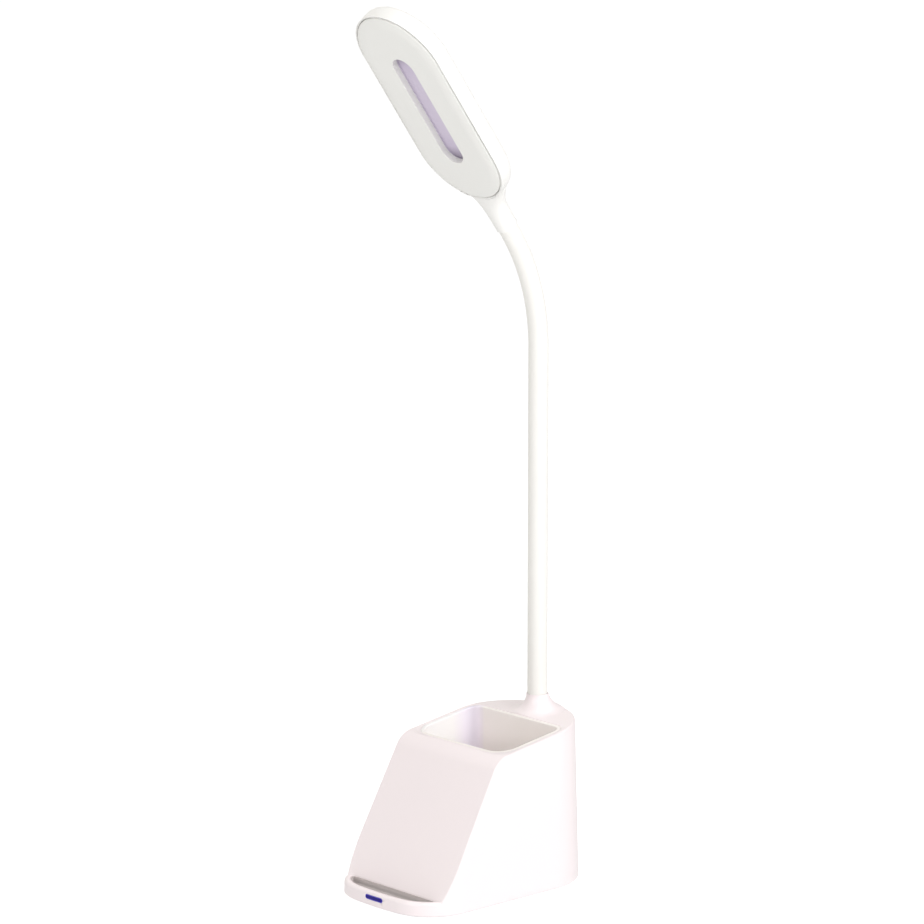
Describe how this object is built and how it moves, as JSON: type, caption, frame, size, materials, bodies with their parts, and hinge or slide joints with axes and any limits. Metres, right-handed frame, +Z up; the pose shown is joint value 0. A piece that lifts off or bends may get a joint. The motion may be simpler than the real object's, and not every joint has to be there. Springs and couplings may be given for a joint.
{
  "type": "desk lamp",
  "caption": "Desk lamp with an oval light panel on a flexible neck. Its base holds pens in a pocket and a phone on a sloped rest.",
  "frame": {"origin": "centre of the base's outline, on the desk under the feet", "axes": "+Z up the neck, +X across the base, and the phone rest and the light panel face -Y"},
  "size_m": [0.0718, 0.1166, 0.4143],
  "materials": {
    "shell": "moulded, satin to gloss",
    "opal": "milky, frosted",
    "sleeve": "smooth silicone",
    "grip": "matte",
    "foot_rubber": "matte",
    "lens": "clear blue",
    "steel": "plated",
    "spring_metal": "nickel on brass",
    "cell_can": "wrapped",
    "board": "solder mask",
    "board_white": "white solder mask",
    "chip": "moulded",
    "light_source": "phosphor",
    "cable_jacket": "smooth"
  },
  "bodies": {
    "base": {"base_housing": "shell", "pen_cup": "shell", "bottom_cover": "shell", "cover_screws": "steel", "rubber_feet": "foot_rubber", "battery_cell": "cell_can", "battery_contacts": "spring_metal", "ballast_plate": "steel", "control_board": "board", "board_parts": "chip", "indicator_lens": "lens", "indicator_led": "light_source", "touch_plate": "spring_metal", "grip_liner": "grip", "charging_board": "board", "charging_socket": "steel", "neck_ferrule": "steel", "neck_washer": "steel", "neck_nut": "steel", "lamp_cable": "cable_jacket", "neck_sleeve_0": "sleeve", "neck_core_0": "steel"},
    "neck_1": {"neck_sleeve_1": "sleeve", "neck_core_1": "steel"},
    "neck_2": {"neck_sleeve_2": "sleeve", "neck_core_2": "steel"},
    "neck_3": {"neck_sleeve_3": "sleeve", "neck_core_3": "steel"},
    "neck_4": {"neck_sleeve_4": "sleeve", "neck_core_4": "steel"},
    "neck_5": {"neck_sleeve_5": "sleeve", "neck_core_5": "steel"},
    "neck_6": {"neck_sleeve_6": "sleeve", "neck_core_6": "steel"},
    "neck_7": {"neck_sleeve_7": "sleeve", "neck_core_7": "steel"},
    "head": {"neck_sleeve_8": "sleeve", "neck_core_8": "steel", "head_ferrule": "steel", "head_housing": "shell", "diffuser": "opal", "recess_tray": "shell", "led_board": "board_white", "led_chips": "light_source", "head_screws": "steel"}
  },
  "joints": [
    {"name": "neck_lower_bend", "type": "hinge", "parent": "base", "child": "neck_1", "pos_m": [0, 0.045, 0.09698], "axis": [1, 0, 0], "range_deg": [-10, 14], "deforming": ["lamp_cable"]},
    {"name": "neck_lower_bend_2", "type": "hinge", "parent": "neck_1", "child": "neck_2", "pos_m": [0, 0.045, 0.126], "axis": [1, 0, 0], "range_deg": [-10, 14]},
    {"name": "neck_side_bend", "type": "hinge", "parent": "neck_2", "child": "neck_3", "pos_m": [0, 0.045, 0.15501], "axis": [0, 1, 0], "range_deg": [-16, 16]},
    {"name": "neck_lower_bend_3", "type": "hinge", "parent": "neck_3", "child": "neck_4", "pos_m": [0, 0.045, 0.18402], "axis": [1, 0, 0], "range_deg": [-10, 14]},
    {"name": "neck_upper_bend", "type": "hinge", "parent": "neck_4", "child": "neck_5", "pos_m": [0, 0.045, 0.21303], "axis": [1, 0, 0], "range_deg": [-14, 18]},
    {"name": "neck_side_bend_2", "type": "hinge", "parent": "neck_5", "child": "neck_6", "pos_m": [0, 0.045, 0.24205], "axis": [0, 1, 0], "range_deg": [-16, 16]},
    {"name": "neck_upper_bend_2", "type": "hinge", "parent": "neck_6", "child": "neck_7", "pos_m": [0, 0.04287, 0.27091], "axis": [1, 0, 0], "range_deg": [-14, 18]},
    {"name": "neck_upper_bend_3", "type": "hinge", "parent": "neck_7", "child": "head", "pos_m": [0, 0.03255, 0.2979], "axis": [1, 0, 0], "range_deg": [-14, 18]}
  ],
  "couplings": [
    {"joint": "neck_lower_bend_2", "follows": "neck_lower_bend", "ratio": 1},
    {"joint": "neck_lower_bend_3", "follows": "neck_lower_bend", "ratio": 1},
    {"joint": "neck_side_bend_2", "follows": "neck_side_bend", "ratio": 1},
    {"joint": "neck_upper_bend_2", "follows": "neck_upper_bend", "ratio": 1},
    {"joint": "neck_upper_bend_3", "follows": "neck_upper_bend", "ratio": 1}
  ]
}
